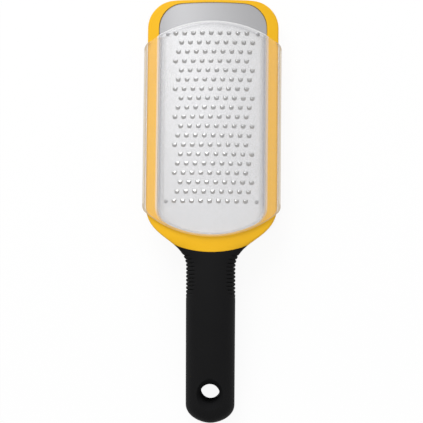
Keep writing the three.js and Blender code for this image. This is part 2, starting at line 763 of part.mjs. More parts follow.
// Assembly: the head's level frame, laid on the table on its foot and the belly of the grip.

const lying = new THREE.Group();

function addPiece(name, solidOrGeometry, material) {
  const isGeometry = solidOrGeometry.isBufferGeometry;
  const mesh = new THREE.Mesh(isGeometry ? solidOrGeometry : toGeometry(solidOrGeometry), material);
  mesh.name = name;
  lying.add(mesh);
  return mesh;
}

addPiece('head_frame', frameSolid(), frameYellow);
addPiece('grating_plate', plateSolid(), plateSteel);
for (const [row, y] of Object.entries(rivetRows)) {
  for (const [hand, side] of [['left', -1], ['right', 1]]) {
    addPiece(`plate_rivet_${row}_${hand}`, onDome(rivetGeometry(), side * rivetX, y), plateSteel);
  }
}
addPiece('tip_foot', footSolid(), gripBlack);
addPiece('handle_core', coreSolid(0), coreBlack);
addPiece('handle_grip', gripSolid(), gripBlack);
addPiece('cover', coverSolid(), coverFrost);

lying.rotation.x = -restAngle;
const bounds = new THREE.Box3().setFromObject(lying, true);
const middle = bounds.getCenter(new THREE.Vector3());
lying.position.set(-middle.x, -middle.y, -bounds.min.z);

const grater = new THREE.Group();
grater.add(lying);

export default grater;
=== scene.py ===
import json
import math

import bmesh
import bpy
from mathutils import Matrix, Vector

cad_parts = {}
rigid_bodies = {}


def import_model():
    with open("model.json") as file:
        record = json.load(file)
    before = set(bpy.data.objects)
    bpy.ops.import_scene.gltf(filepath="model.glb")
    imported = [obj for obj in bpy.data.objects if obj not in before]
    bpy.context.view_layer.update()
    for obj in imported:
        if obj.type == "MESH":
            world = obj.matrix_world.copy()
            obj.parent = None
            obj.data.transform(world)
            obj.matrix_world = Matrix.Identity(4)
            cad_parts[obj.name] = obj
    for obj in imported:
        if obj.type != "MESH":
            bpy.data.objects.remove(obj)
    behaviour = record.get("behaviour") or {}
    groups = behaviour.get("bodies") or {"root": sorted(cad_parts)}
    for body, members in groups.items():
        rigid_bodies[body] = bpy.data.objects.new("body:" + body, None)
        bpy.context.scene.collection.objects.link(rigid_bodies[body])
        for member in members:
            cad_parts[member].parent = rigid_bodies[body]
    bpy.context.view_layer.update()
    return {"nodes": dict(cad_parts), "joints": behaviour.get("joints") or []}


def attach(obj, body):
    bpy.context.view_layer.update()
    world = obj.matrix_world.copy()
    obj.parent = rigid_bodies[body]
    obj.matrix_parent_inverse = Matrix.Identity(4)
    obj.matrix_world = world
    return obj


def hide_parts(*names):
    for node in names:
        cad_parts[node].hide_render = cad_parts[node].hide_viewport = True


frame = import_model()


# Frame
# One moulding of glossy yellow plastic. A thin rim holds the plate, the side rails carry the cover,
# and a broad shoulder narrows into the neck, where the grip begins along a curved line.

# Every piece is made level, with y = 0 where the head's straight sides end and z = 0 at the skirt's
# lower edge, and is then laid on the table with the slope that the cover's slide has.
slide_axis = Vector(frame["joints"][0]["axis"])
REST_ANGLE = math.atan2(-slide_axis.z, slide_axis.y)
REST_PLACE = (0, 0.0046177, 0.0111902)
LYING = Matrix.Translation(REST_PLACE) @ Matrix.Rotation(-REST_ANGLE, 4, "X")

HEAD_HALF = 0.0446
HEAD_LENGTH = 0.1386
HEAD_DEPTH = 0.0146
DOME_RADIUS = 0.150
DOME_CENTRE = HEAD_DEPTH - DOME_RADIUS
TIP_CORNER = 0.0177
CORNER_START = HEAD_LENGTH - TIP_CORNER
EDGE_ROUND = 0.0012
RAIL_EDGE = 0.0026
SKIRT_HALF = 0.0410
SKIRT_WALL = 0.0022
SHELF = 0.0012
WINDOW_HALF = 0.0368
WINDOW_TIP = 0.1369
WINDOW_TIP_RADIUS = 0.500
WINDOW_TIP_CORNER = 0.016
WINDOW_HEEL = -0.0202
WINDOW_HEEL_RADIUS = 0.0676
WINDOW_HEEL_CORNER = 0.0136
SLOT_REACH = 0.0019
SLOT_TIP = 0.1379
CAVITY_HEEL = -0.0153
RIM_LIP = 0.0006
PLATE_FIT = 0.0003
PLATE_THICKNESS = 0.0006
SLOT_FLOOR = -RIM_LIP - PLATE_THICKNESS - 2 * PLATE_FIT
SHOULDER_LENGTH = 0.0420
SHOULDER_FULLNESS = 0.0236
NECK_FULLNESS = 0.0192
HANDLE_HALF = 0.0167
HANDLE_END = -0.1480
HANDLE_END_LENGTH = 0.0125
NECK_DEPTH = 0.0152
GRIP_DEPTH = 0.0230
GRIP_END_DEPTH = 0.0204
SWELL_START = 0.020
SWELL_END = 0.080
HANDLE_BEND = math.radians(8.5)
BEND_START = 0.016
BEND_LENGTH = 0.036
OVAL_START = 0.0197
OVAL_END = 0.04286
JOIN_Y = 0.0318
JOIN_RADIUS = 0.0685
FOOT_LAND_TOP = 0.0040
FOOT_LAND_BACK = 0.1297
FRAME_BEVEL = 0.00025
TOUCHING = 1e-6
SLIVER_WIDTH = 2e-5


def lerp(start, end, share):
    return start + (end - start) * share


def ease(value, low, high):
    """A share that rises smoothly from 0 at low to 1 at high."""
    share = min(1, max(0, (value - low) / (high - low)))
    return share * share * (3 - 2 * share)


def dome_height(x, offset=0.0):
    """Height of the head's bowed top, or of a skin that lies an offset above it."""
    return DOME_CENTRE + math.sqrt((DOME_RADIUS + offset) ** 2 - x ** 2)


def shoulder_point(t):
    """A point of the curve from the head's straight side, at 0, to the handle's side, at 1."""
    s = 1 - t
    x = HEAD_HALF * (s ** 3 + 3 * s * s * t) + HANDLE_HALF * (3 * s * t * t + t ** 3)
    y = 3 * s * s * t * SHOULDER_FULLNESS + 3 * s * t * t * (SHOULDER_LENGTH - NECK_FULLNESS)
    return x, -y - t ** 3 * SHOULDER_LENGTH


HALVINGS = 40


def solve(rises):
    """The share between 0 and 1 from which the given test holds, found by halving."""
    low, high = 0.0, 1.0
    for _ in range(HALVINGS):
        middle = (low + high) / 2
        low, high = (low, middle) if rises(middle) else (middle, high)
    return low


def end_taper(y):
    """How full the handle is: 1 along its length, and down to 0 at its rounded end."""
    past = min(1, max(0, (HANDLE_END + HANDLE_END_LENGTH - y) / HANDLE_END_LENGTH))
    return math.sqrt(1 - past ** 2)


def half_width(y):
    """Half the body's width, from the tip over the shoulder to the end of the handle."""
    if y > CORNER_START:
        return HEAD_HALF - TIP_CORNER + math.sqrt(max(0, TIP_CORNER ** 2 - (y - CORNER_START) ** 2))
    if y >= 0:
        return HEAD_HALF
    if y > -SHOULDER_LENGTH:
        return shoulder_point(solve(lambda t: shoulder_point(t)[1] < y))[0]
    return HANDLE_HALF * end_taper(y)


def half_depth(y):
    """Half the handle's depth, which swells behind the neck and narrows to its end."""
    full = lerp(NECK_DEPTH, GRIP_DEPTH, ease(-y, SWELL_START, SWELL_END))
    depth = lerp(full, GRIP_END_DEPTH, ease(-y, SWELL_END, -HANDLE_END))
    return depth / 2 * math.sqrt(end_taper(y))


def spine_height(y):
    """Height of the handle's middle line, which bends down behind the shoulder and then runs straight."""
    radius = BEND_LENGTH / math.sin(HANDLE_BEND)
    bent = min(BEND_LENGTH, max(0, -BEND_START - y))
    straight = max(0, -BEND_START - BEND_LENGTH - y)
    drop = radius - math.sqrt(radius ** 2 - bent ** 2) + straight * math.tan(HANDLE_BEND)
    return HEAD_DEPTH / 2 - drop


def skin_height(x, y, side):
    """Height of the body's upper (side 1) or lower (side -1) skin: a shallow dome that turns oval."""
    half = half_width(y)
    across = min(1, abs(x) / half)
    oval = spine_height(y) + side * half_depth(y) * math.sqrt(1 - across ** 2)
    rim = min(EDGE_ROUND, max(0, EDGE_ROUND - half + abs(x)))
    rounded = EDGE_ROUND - math.sqrt(EDGE_ROUND ** 2 - rim ** 2)
    flat = dome_height(x) - rounded if side > 0 else 0
    return lerp(flat, oval, ease(-y, OVAL_START, OVAL_END))


# Outlines in plan run from the middle of the tip, down the right side, to the middle of the heel.
TIP_STEPS, CORNER_STEPS, RAIL_STEPS, BEND_STEPS, HEEL_STEPS = 8, 10, 16, 8, 12
NECK_STEPS = 8
SHOULDER_CROWDING = 1.5


def arc(centre, radius, start, end, steps):
    angles = [lerp(start, end, k / steps) for k in range(steps)]
    return [(centre[0] + radius * math.cos(a), centre[1] + radius * math.sin(a)) for a in angles]


def line(start, end, steps):
    shares = [k / steps for k in range(steps)]
    return [(lerp(start[0], end[0], share), lerp(start[1], end[1], share)) for share in shares]


def paddle(half, tip, tip_radius, tip_corner, heel, heel_radius, heel_corner):
    """An outline with straight sides, a flat arc at both ends and rounded corners."""
    tip_centre = tip - tip_radius
    tip_y = tip_centre + math.sqrt((tip_radius - tip_corner) ** 2 - (half - tip_corner) ** 2)
    tip_angle = math.atan2(tip_y - tip_centre, half - tip_corner)
    heel_centre = heel + heel_radius
    heel_y = heel_centre - math.sqrt((heel_radius - heel_corner) ** 2 - (half - heel_corner) ** 2)
    heel_angle = math.atan2(heel_y - heel_centre, half - heel_corner)
    points = arc((0, tip_centre), tip_radius, math.pi / 2, tip_angle, TIP_STEPS)
    points += arc((half - tip_corner, tip_y), tip_corner, tip_angle, 0, CORNER_STEPS)
    points += line((half, tip_y), (half, heel_y), RAIL_STEPS)
    points += arc((half - heel_corner, heel_y), heel_corner, 0, heel_angle, BEND_STEPS)
    points += arc((0, heel_centre), heel_radius, heel_angle, -math.pi / 2, HEEL_STEPS)
    return points + [(0, heel)]


def window_paddle(grow, **changes):
    """The outline of the plate's window, grown all round, with other sizes where they are given."""
    sizes = {"half": WINDOW_HALF, "tip": WINDOW_TIP, "tip_radius": WINDOW_TIP_RADIUS,
             "tip_corner": WINDOW_TIP_CORNER, "heel": WINDOW_HEEL,
             "heel_radius": WINDOW_HEEL_RADIUS, "heel_corner": WINDOW_HEEL_CORNER}
    grown = {name: size + (-grow if name == "heel" else grow) for name, size in sizes.items()}
    return paddle(**{**grown, **changes})


def body_outline():
    """The frame's outer edge: tip, rounded corner, rail, shoulder, and the curved line at the neck."""
    join_centre = JOIN_RADIUS - JOIN_Y
    points = line((0, HEAD_LENGTH), (HEAD_HALF - TIP_CORNER, HEAD_LENGTH), TIP_STEPS)
    points += arc((HEAD_HALF - TIP_CORNER, CORNER_START), TIP_CORNER, math.pi / 2, 0, CORNER_STEPS)
    points += line((HEAD_HALF, CORNER_START), (HEAD_HALF, 0), RAIL_STEPS)
    corner = solve(lambda t: math.dist(shoulder_point(t), (0, join_centre)) > JOIN_RADIUS)
    shoulder_steps = BEND_STEPS + HEEL_STEPS - NECK_STEPS
    points += [shoulder_point(corner * (k / shoulder_steps) ** SHOULDER_CROWDING)
               for k in range(shoulder_steps)]
    corner_x, corner_y = shoulder_point(corner)
    join_angle = math.atan2(corner_y - join_centre, corner_x)
    points += arc((0, join_centre), JOIN_RADIUS, join_angle, -math.pi / 2, NECK_STEPS)
    return points + [(0, -JOIN_Y)]


def ring(half_outline):
    """A whole outline from its right half."""
    return half_outline + [(-x, y) for x, y in reversed(half_outline[1:-1])]


def start_ring(name, places):
    """A new piece in edit mode, with one closed ring of edges through the places."""
    bpy.ops.object.select_all(action="DESELECT")
    bpy.ops.mesh.primitive_circle_add(vertices=len(places), radius=HEAD_HALF)
    piece = bpy.context.object
    piece.name = name
    order = piece.data.attributes.new("order", "INT", "POINT")
    for k, place in enumerate(places):
        order.data[k].value = k
        piece.data.vertices[k].co = place
    bpy.ops.object.mode_set(mode="EDIT")
    bpy.ops.mesh.select_all(action="SELECT")
    return piece


def extrude_ring(piece, places):
    """Extrudes the selected edges and sets each new point at its own place."""
    bpy.ops.mesh.extrude_edges_indiv()
    mesh = bmesh.from_edit_mesh(piece.data)
    order = mesh.verts.layers.int["order"]
    for vertex in mesh.verts:
        if vertex.select:
            vertex.co = places[vertex[order]]
    bmesh.update_edit_mesh(piece.data)


def close_mesh(piece):
    """Merges what lies together, turns the faces outwards and drops the working order."""
    bpy.ops.mesh.select_all(action="SELECT")
    bpy.ops.mesh.remove_doubles(threshold=TOUCHING)
    bpy.ops.mesh.normals_make_consistent(inside=False)
    bpy.ops.object.mode_set(mode="OBJECT")
    if "order" in piece.data.attributes:
        piece.data.attributes.remove(piece.data.attributes["order"])


def apply_modifier(piece, kind, **settings):
    bpy.context.view_layer.objects.active = piece
    modifier = piece.modifiers.new(kind, kind)
    for name, value in settings.items():
        setattr(modifier, name, value)
    bpy.ops.object.modifier_apply(modifier=modifier.name)


def drop_slivers(piece):
    """Takes out the faces that a bevel leaves with no width."""
    bpy.context.view_layer.objects.active = piece
    bpy.ops.object.mode_set(mode="EDIT")
    bpy.ops.mesh.select_all(action="SELECT")
    bpy.ops.mesh.dissolve_degenerate(threshold=SLIVER_WIDTH)
    bpy.ops.object.mode_set(mode="OBJECT")


def keep_main_shell(piece):
    """Takes out the specks that a union cuts loose, and leaves the shell that reaches furthest."""
    bpy.context.view_layer.objects.active = piece
    bpy.ops.object.mode_set(mode="EDIT")
    bpy.ops.mesh.select_all(action="DESELECT")
    mesh = bmesh.from_edit_mesh(piece.data)
    max(mesh.verts, key=lambda vertex: vertex.co.y).select_set(True)
    bmesh.update_edit_mesh(piece.data)
    bpy.ops.mesh.select_linked()
    bpy.ops.mesh.select_all(action="INVERT")
    bpy.ops.mesh.delete(type="VERT")
    bpy.ops.object.mode_set(mode="OBJECT")


def lay_down(piece, smooth_degrees):
    """Moves a finished piece from the level to its place on the table, and shades it smooth."""
    bpy.ops.object.select_all(action="DESELECT")
    piece.select_set(True)
    bpy.context.view_layer.objects.active = piece
    piece.matrix_world = LYING @ piece.matrix_world
    bpy.ops.object.transform_apply(location=True, rotation=True, scale=True)
    bpy.ops.object.shade_smooth_by_angle(angle=math.radians(smooth_degrees))


window = ring(window_paddle(0))
slot_edge = ring(window_paddle(SLOT_REACH, tip=SLOT_TIP))
cavity = ring(window_paddle(SKIRT_HALF - SKIRT_WALL - WINDOW_HALF, tip=HEAD_LENGTH - SKIRT_WALL,
                            heel=CAVITY_HEEL))
low_cavity = [(x, min(y, FOOT_LAND_BACK)) for x, y in cavity]
outer = ring(body_outline())
rail_underside = dome_height(HEAD_HALF) - RAIL_EDGE
cavity_top = dome_height(SKIRT_HALF - SKIRT_WALL, SLOT_FLOOR) - SHELF

TOP_LOOPS = 12
UNDER_LOOPS = 8
UNDER_REACH = 0.9
JOIN_CORNER = 0.0285


def top_loop(k):
    """From the window to the outer edge, closer together towards the rounded sides."""
    even = k / TOP_LOOPS
    close = math.sin(even * math.pi / 2)
    places = []
    for inner, (x, y) in zip(window, outer):
        at_side = -JOIN_CORNER < y < HEAD_LENGTH - TIP_CORNER / 2
        places.append(Vector(inner).lerp(Vector((x, y)), close if at_side else even))
    return [(p.x, p.y, skin_height(p.x, p.y, 1)) for p in places]


def under_loop(k):
    """From the outer edge, round under the rail and down the skirt, or along the shoulder's belly."""
    share = 1 - math.cos((k - 1) / (UNDER_LOOPS - 1) * math.pi / 2)
    places = []
    for (x, y), inner in zip(outer, low_cavity):
        if y >= 0:
            skirt_x = math.copysign(min(abs(x), SKIRT_HALF), x)
            height = rail_underside * min(1, (UNDER_LOOPS - k) / (UNDER_LOOPS - 2))
            places.append((x if k == 1 else skirt_x, y, height))
        else:
            p = Vector((x, y)).lerp(Vector(inner), share * UNDER_REACH)
            places.append((p.x, p.y, skin_height(p.x, p.y, -1)))
    return places


def on_dome(outline, offset):
    return [(x, y, dome_height(x, offset)) for x, y in outline]


def at_height(outline, height):
    return [(x, y, height) for x, y in outline]


frame_piece = start_ring("yellow_frame", top_loop(0))
for k in range(1, TOP_LOOPS + 1):
    extrude_ring(frame_piece, top_loop(k))
for k in range(1, UNDER_LOOPS + 1):
    extrude_ring(frame_piece, under_loop(k))
inside_loops = [at_height(low_cavity, 0), at_height(low_cavity, FOOT_LAND_TOP),
                at_height(cavity, FOOT_LAND_TOP), at_height(cavity, cavity_top),
                at_height(window, cavity_top), on_dome(window, SLOT_FLOOR),
                on_dome(slot_edge, SLOT_FLOOR), on_dome(slot_edge, -RIM_LIP), on_dome(window, -RIM_LIP)]
for places in inside_loops:
    extrude_ring(frame_piece, places)
bpy.ops.mesh.select_all(action="DESELECT")
bpy.ops.mesh.select_non_manifold(extend=False, use_wire=False, use_multi_face=False,
                                 use_non_contiguous=False, use_verts=False)
bpy.ops.mesh.bridge_edge_loops()
close_mesh(frame_piece)
apply_modifier(frame_piece, "BEVEL", width=FRAME_BEVEL, segments=2, limit_method="ANGLE",
               angle_limit=math.radians(40))
drop_slivers(frame_piece)

# Lugs under the plate's corners, one below each rivet.
RIVET_X = 0.0308
RIVET_ROWS = (0.0019, 0.11566)
LUG_SIZE = (0.0112, 0.0064, 0.00185)
LUG_MIDDLE = 0.0328
LUG_DROP = 0.00015
LUG_BEVEL = 0.0004

lug_tilt = math.asin(LUG_MIDDLE / DOME_RADIUS)
for y in RIVET_ROWS:
    for side in (-1, 1):
        height = dome_height(LUG_MIDDLE, SLOT_FLOOR - LUG_DROP - LUG_SIZE[2] / 2)
        bpy.ops.object.select_all(action="DESELECT")
        bpy.ops.mesh.primitive_cube_add(size=1, location=(side * LUG_MIDDLE, y, height),
                                        rotation=(0, side * lug_tilt, 0))
        lug = bpy.context.object
        lug.scale = LUG_SIZE
        bpy.ops.object.transform_apply(location=True, rotation=True, scale=True)
        apply_modifier(lug, "BEVEL", width=LUG_BEVEL, segments=2)
        apply_modifier(frame_piece, "BOOLEAN", operation="UNION", object=lug, solver="EXACT",
                       use_self=True)
        bpy.data.objects.remove(lug)
keep_main_shell(frame_piece)
lay_down(frame_piece, 40)


class Finish:
    """A socket of a material, on which sums and products add their own Math nodes."""

    def __init__(self, tree, socket=None):
        self.tree = tree
        self.socket = socket

    def node(self, kind, inputs, output=0, **settings):
        made = self.tree.nodes.new(kind)
        for name, value in settings.items():
            setattr(made, name, value)
        for name, value in inputs.items():
            if isinstance(value, Finish):
                self.tree.links.new(value.socket, made.inputs[name])
            else:
                made.inputs[name].default_value = value
        return Finish(self.tree, made.outputs[output])

    def maths(self, operation, first, second):
        return self.node("ShaderNodeMath", {0: first, 1: second}, operation=operation)

    def __add__(self, other):
        return self.maths("ADD", self, other)

    def __radd__(self, other):
        return self.maths("ADD", other, self)

    def __sub__(self, other):
        return self.maths("SUBTRACT", self, other)

    def __rsub__(self, other):
        return self.maths("SUBTRACT", other, self)

    def __mul__(self, other):
        return self.maths("MULTIPLY", self, other)

    def __rmul__(self, other):
        return self.maths("MULTIPLY", other, self)

    def blend(self, first, second):
        """A colour between two, with this value as the share of the second."""
        inputs = {0: self, 6: first, 7: second}
        return self.node("ShaderNodeMix", inputs, output=2, data_type="RGBA")

    def step(self, low, high):
        """This value, eased from 0 at low to 1 at high."""
        inputs = {"Value": self, "From Min": low, "From Max": high}
        return self.node("ShaderNodeMapRange", inputs, interpolation_type="SMOOTHSTEP")


def linear(code):
    """A colour written as six hex digits, as the shader counts it."""
    parts = [int(code[k:k + 2], 16) / 255 for k in (0, 2, 4)]
    return [p / 12.92 if p <= 0.04045 else ((p + 0.055) / 1.055) ** 2.4 for p in parts] + [1]


def new_material(name, **constants):
    """A material, its surface shader, and the place of each point on the piece."""
    material = bpy.data.materials.new(name)
    material.use_nodes = True
    tree = material.node_tree
    shader = tree.nodes["Principled BSDF"]
    for socket, value in constants.items():
        shader.inputs[socket.replace("_", " ")].default_value = value
    place = Finish(tree).node("ShaderNodeTexCoord", {}, output="Object")
    return material, shader, place


def noise(place, scale, detail=2.0, stretch=(1, 1, 1)):
    """Soft random patches between 0 and 1, finer with a larger scale."""
    stretched = place.node("ShaderNodeMapping", {"Vector": place, "Scale": stretch})
    return place.node("ShaderNodeTexNoise", {"Vector": stretched, "Scale": scale, "Detail": detail})


def feed(shader, **values):
    for name, value in values.items():
        value.tree.links.new(value.socket, shader.inputs[name.replace("_", " ")])


def bump(place, height, strength, distance):
    inputs = {"Height": height, "Strength": strength, "Distance": distance}
    return place.node("ShaderNodeBump", inputs)


frame_yellow, shader, place = new_material("frame_yellow", Specular_IOR_Level=0.3, Coat_Weight=0.05,
                                           Coat_Roughness=0.15)
flow = noise(place, 40)
grain = noise(place, 2600, 3)
feed(shader, Base_Color=flow.blend(linear("F0B808"), linear("EDB30C")),
     Roughness=0.30 + 0.08 * flow + 0.05 * grain, Normal=bump(place, grain, 0.06, 0.00005))
frame_piece.data.materials.clear()
frame_piece.data.materials.append(frame_yellow)
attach(frame_piece, "grater")
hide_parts("head_frame")


# Grating plate
# A thin stainless sheet, bowed across its width and held in the frame's slot. Rows of teeth are
# stamped through it, each a rounded tongue raised over its own half-round opening.

TOOTH_ROWS = 19
TOOTH_COLUMNS = 9
ROW_PITCH = 0.00632
COLUMN_PITCH = 0.00605
FIELD_START = 0.0019
FIELD_SHIFT = 0.0010
OPENING_HALF = 0.0016
OPENING_SIDE = -0.0001
OPENING_DEPTH = 0.0011
OPENING_BORDER = 0.00025
TOOTH_HALF = OPENING_HALF * 2 / 3
TOOTH_ROOT = 0.0016
TOOTH_LENGTH = 0.0012
TOOTH_RISE = 0.0008
TOOTH_TAPER = 0.25
TOOTH_SIDE_RISE = 0.5
TOOTH_SIDE_LENGTH = 0.65
TONGUE_STEPS = 3
CELL_STEPS = 6
SIDE_STEPS = 4
PLATE_TOP = -RIM_LIP - PLATE_FIT
GRID = COLUMN_PITCH / CELL_STEPS
BLANK_COLUMNS = 24
PLATE_HEEL = -0.0225
PLATE_TIP = 0.1400
PLATE_REACH = 0.0016
TRIM_TIP = 0.1376
SHEET_THICKNESS = 0.0005
END_SHEET_ROWS = 6


def cell_edge():
    """The edge of one tooth's share of the sheet."""
    right, top = COLUMN_PITCH / 2, ROW_PITCH / 2
    places = line((right, top), (-right, top), CELL_STEPS)
    places += line((-right, top), (-right, -top), SIDE_STEPS)
    places += line((-right, -top), (right, -top), CELL_STEPS)
    places += line((right, -top), (right, top), SIDE_STEPS)
    return [(x, y, 0) for x, y in places]


def opening_edge(grow):
    """The edge of a tooth's opening: straight at the root, half round on the heel's side."""
    half, root = OPENING_HALF + grow, TOOTH_ROOT + grow
    places = line((half, root), (-half, root), CELL_STEPS)
    places += line((-half, root), (-half, OPENING_SIDE), SIDE_STEPS)
    for k in range(CELL_STEPS):
        angle = math.pi * (1 + k / CELL_STEPS)
        places.append((half * math.cos(angle), OPENING_SIDE + (OPENING_DEPTH + grow) * math.sin(angle)))
    places += line((half, OPENING_SIDE), (half, root), SIDE_STEPS)
    return [(x, y, 0) for x, y in places]


def tongue_place(x, share):
    """A point of the tooth: its middle rises and reaches furthest, and its sides stay low."""
    across = x / TOOTH_HALF
    crown = 1 - across ** 2
    narrow = 1 - TOOTH_TAPER * share
    reach = TOOTH_LENGTH * share * lerp(TOOTH_SIDE_LENGTH, 1, crown)
    height = TOOTH_RISE * share * lerp(TOOTH_SIDE_RISE, 1, crown)
    return x * narrow, TOOTH_ROOT - reach, height


tooth = start_ring("tooth", cell_edge())
extrude_ring(tooth, opening_edge(OPENING_BORDER))
extrude_ring(tooth, opening_edge(0))
bpy.ops.mesh.select_all(action="DESELECT")
mesh = bmesh.from_edit_mesh(tooth.data)
for edge in mesh.edges:
    at_root = all(abs(vertex.co.y - TOOTH_ROOT) < TOUCHING for vertex in edge.verts)
    if at_root and all(abs(vertex.co.x) < TOOTH_HALF + TOUCHING for vertex in edge.verts):
        edge.select_set(True)
bmesh.update_edit_mesh(tooth.data)
root = [x for x, y, z in opening_edge(0)][:CELL_STEPS + 1]
for step in range(1, TONGUE_STEPS + 1):
    extrude_ring(tooth, [tongue_place(x, step / TONGUE_STEPS) for x in root])
bpy.ops.mesh.select_all(action="SELECT")
bpy.ops.mesh.normals_make_consistent(inside=False)
bpy.ops.object.mode_set(mode="OBJECT")
tooth.data.attributes.remove(tooth.data.attributes["order"])


def blank_sheet(left, low, columns, high, rows):
    """A plain stretch of the sheet, on the same grid as the rows of teeth."""
    width, height = columns * GRID, high - low
    bpy.ops.mesh.primitive_grid_add(x_subdivisions=columns, y_subdivisions=rows, size=1,
                                    location=(left + width / 2, low + height / 2, 0))
    sheet = bpy.context.object
    sheet.scale = (width, height, 1)
    bpy.ops.object.transform_apply(location=True, rotation=True, scale=True)
    return sheet


field_half = COLUMN_PITCH * TOOTH_COLUMNS / 2
row_low = FIELD_START - ROW_PITCH / 2
row_high = row_low + ROW_PITCH * TOOTH_ROWS
sheet_left = FIELD_SHIFT - field_half - GRID * (BLANK_COLUMNS / 2 + 1)
all_columns = TOOTH_COLUMNS * CELL_STEPS + BLANK_COLUMNS
sheets = [blank_sheet(sheet_left, PLATE_HEEL, all_columns, row_low, END_SHEET_ROWS),
          blank_sheet(sheet_left, row_high, all_columns, PLATE_TIP, END_SHEET_ROWS)]
apply_modifier(tooth, "ARRAY", count=TOOTH_COLUMNS, use_relative_offset=False, use_constant_offset=True,
               constant_offset_displace=(COLUMN_PITCH, 0, 0))
for row in range(TOOTH_ROWS):
    y = FIELD_START + row * ROW_PITCH
    shift = FIELD_SHIFT + (row % 3 - 1) * COLUMN_PITCH / 3
    left_columns = BLANK_COLUMNS // 2 + 1 + (row % 3 - 1) * CELL_STEPS // 3
    low, high = y - ROW_PITCH / 2, y + ROW_PITCH / 2
    sheets.append(blank_sheet(sheet_left, low, left_columns, high, SIDE_STEPS))
    sheets.append(blank_sheet(shift + field_half, low, BLANK_COLUMNS - left_columns, high, SIDE_STEPS))
    tooth_row = tooth.copy()
    tooth_row.data = tooth.data.copy()
    bpy.context.collection.objects.link(tooth_row)
    tooth_row.data.transform(Matrix.Translation((shift - field_half + COLUMN_PITCH / 2, y, 0)))
    sheets.append(tooth_row)
bpy.data.objects.remove(tooth)
bpy.ops.object.select_all(action="DESELECT")
for sheet in sheets:
    sheet.select_set(True)
plate = sheets[0]
plate.name = "steel_plate"
bpy.context.view_layer.objects.active = plate
bpy.ops.object.join()
bpy.ops.object.mode_set(mode="EDIT")
close_mesh(plate)
for vertex in plate.data.vertices:
    lean = math.asin(vertex.co.x / DOME_RADIUS)
    radius = DOME_RADIUS + PLATE_TOP + vertex.co.z
    vertex.co = (radius * math.sin(lean), vertex.co.y, DOME_CENTRE + radius * math.cos(lean))
bpy.ops.object.mode_set(mode="EDIT")
bpy.ops.mesh.select_all(action="SELECT")
bpy.ops.mesh.normals_make_consistent(inside=False)
bpy.ops.object.mode_set(mode="OBJECT")
if plate.data.polygons[0].normal.z < 0:
    plate.data.flip_normals()
apply_modifier(plate, "SOLIDIFY", thickness=SHEET_THICKNESS, offset=-1)


def cap_ends():
    """Closes every open ring of the mesh in edit mode with a face of its own."""
    bpy.ops.mesh.select_all(action="DESELECT")
    bpy.ops.mesh.select_non_manifold(extend=False)
    bpy.ops.mesh.edge_face_add()


plate_edge = ring(window_paddle(PLATE_REACH, tip=TRIM_TIP))
trim = start_ring("plate_trim", at_height(plate_edge, -HEAD_DEPTH))
extrude_ring(trim, at_height(plate_edge, 2 * HEAD_DEPTH))
cap_ends()
close_mesh(trim)
apply_modifier(plate, "BOOLEAN", operation="INTERSECT", object=trim, solver="EXACT")
bpy.data.objects.remove(trim)
lay_down(plate, 28)

plate_steel, shader, place = new_material("plate_steel", Metallic=1.0)
haze = noise(place, 30)
brushed = noise(place, 900, 3, (1, 0.06, 1))
# Past an arc about the middle of the plate, beyond the teeth, the tip is painted darker than the field:
# painted shade for the frosted cover's light on the field.
TIP_SHADE_CENTRE = (0, 0.0491, 0)
TIP_SHADE_RADIUS = 0.0800
TIP_SHADE_BLUR = 0.0015
flat_place = place.node("ShaderNodeMapping", {"Vector": place, "Scale": (1, 1, 0)})
from_centre = place.node("ShaderNodeVectorMath", {0: flat_place, 1: TIP_SHADE_CENTRE}, output="Value",
                         operation="DISTANCE")
# Share of the painted shade on the tip: 0 over the field, 1 on the tip.
plain = from_centre.step(TIP_SHADE_RADIUS - TIP_SHADE_BLUR, TIP_SHADE_RADIUS)
field_steel = haze.blend(linear("ECECEE"), linear("E6E6E8"))
feed(shader, Base_Color=plain.blend(field_steel, linear("BEBEC0")),
     Roughness=0.20 + 0.06 * haze + 0.05 * brushed, Normal=bump(place, brushed, 0.05, 0.00003))
plate.data.materials.clear()
plate.data.materials.append(plate_steel)
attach(plate, "grater")
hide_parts("grating_plate")


# Rivets
# Four small steel rivets hold the plate's corners to the frame's lugs. Each has a low round head
# above the plate, a shank through it, and a closed head under the lug.

RIVET_HEAD = 0.0013
RIVET_SHANK = 0.00075
RIVET_HEIGHT = 0.0006
RIVET_SIDES = 32
# Rings of both heads, as shares of the head's radius and height away from its seat.
TAIL_RINGS = ((0.85, 1), (1, 0.7), (1, 0))
DOME_RINGS = ((1, 0), (0.97, 0.35), (0.8, 0.72), (0.4, 0.96))

head_seat = PLATE_TOP + PLATE_FIT / 2
tail_seat = SLOT_FLOOR - LUG_DROP - LUG_SIZE[2] - PLATE_FIT / 2
rivet_profile = [(RIVET_HEAD * share, tail_seat - RIVET_HEIGHT * away) for share, away in TAIL_RINGS]
rivet_profile += [(RIVET_SHANK, tail_seat), (RIVET_SHANK, head_seat)]
rivet_profile += [(RIVET_HEAD * share, head_seat + RIVET_HEIGHT * away) for share, away in DOME_RINGS]


def circle_places(radius, height, sides):
    angles = [2 * math.pi * k / sides for k in range(sides)]
    return [(radius * math.cos(a), radius * math.sin(a), height) for a in angles]


def turned_piece(name, profile, sides):
    """A closed solid of revolution about z, ring by ring from its lowest end."""
    piece = start_ring(name, circle_places(*profile[0], sides))
    for radius, height in profile[1:]:
        extrude_ring(piece, circle_places(radius, height, sides))
    cap_ends()
    close_mesh(piece)
    return piece
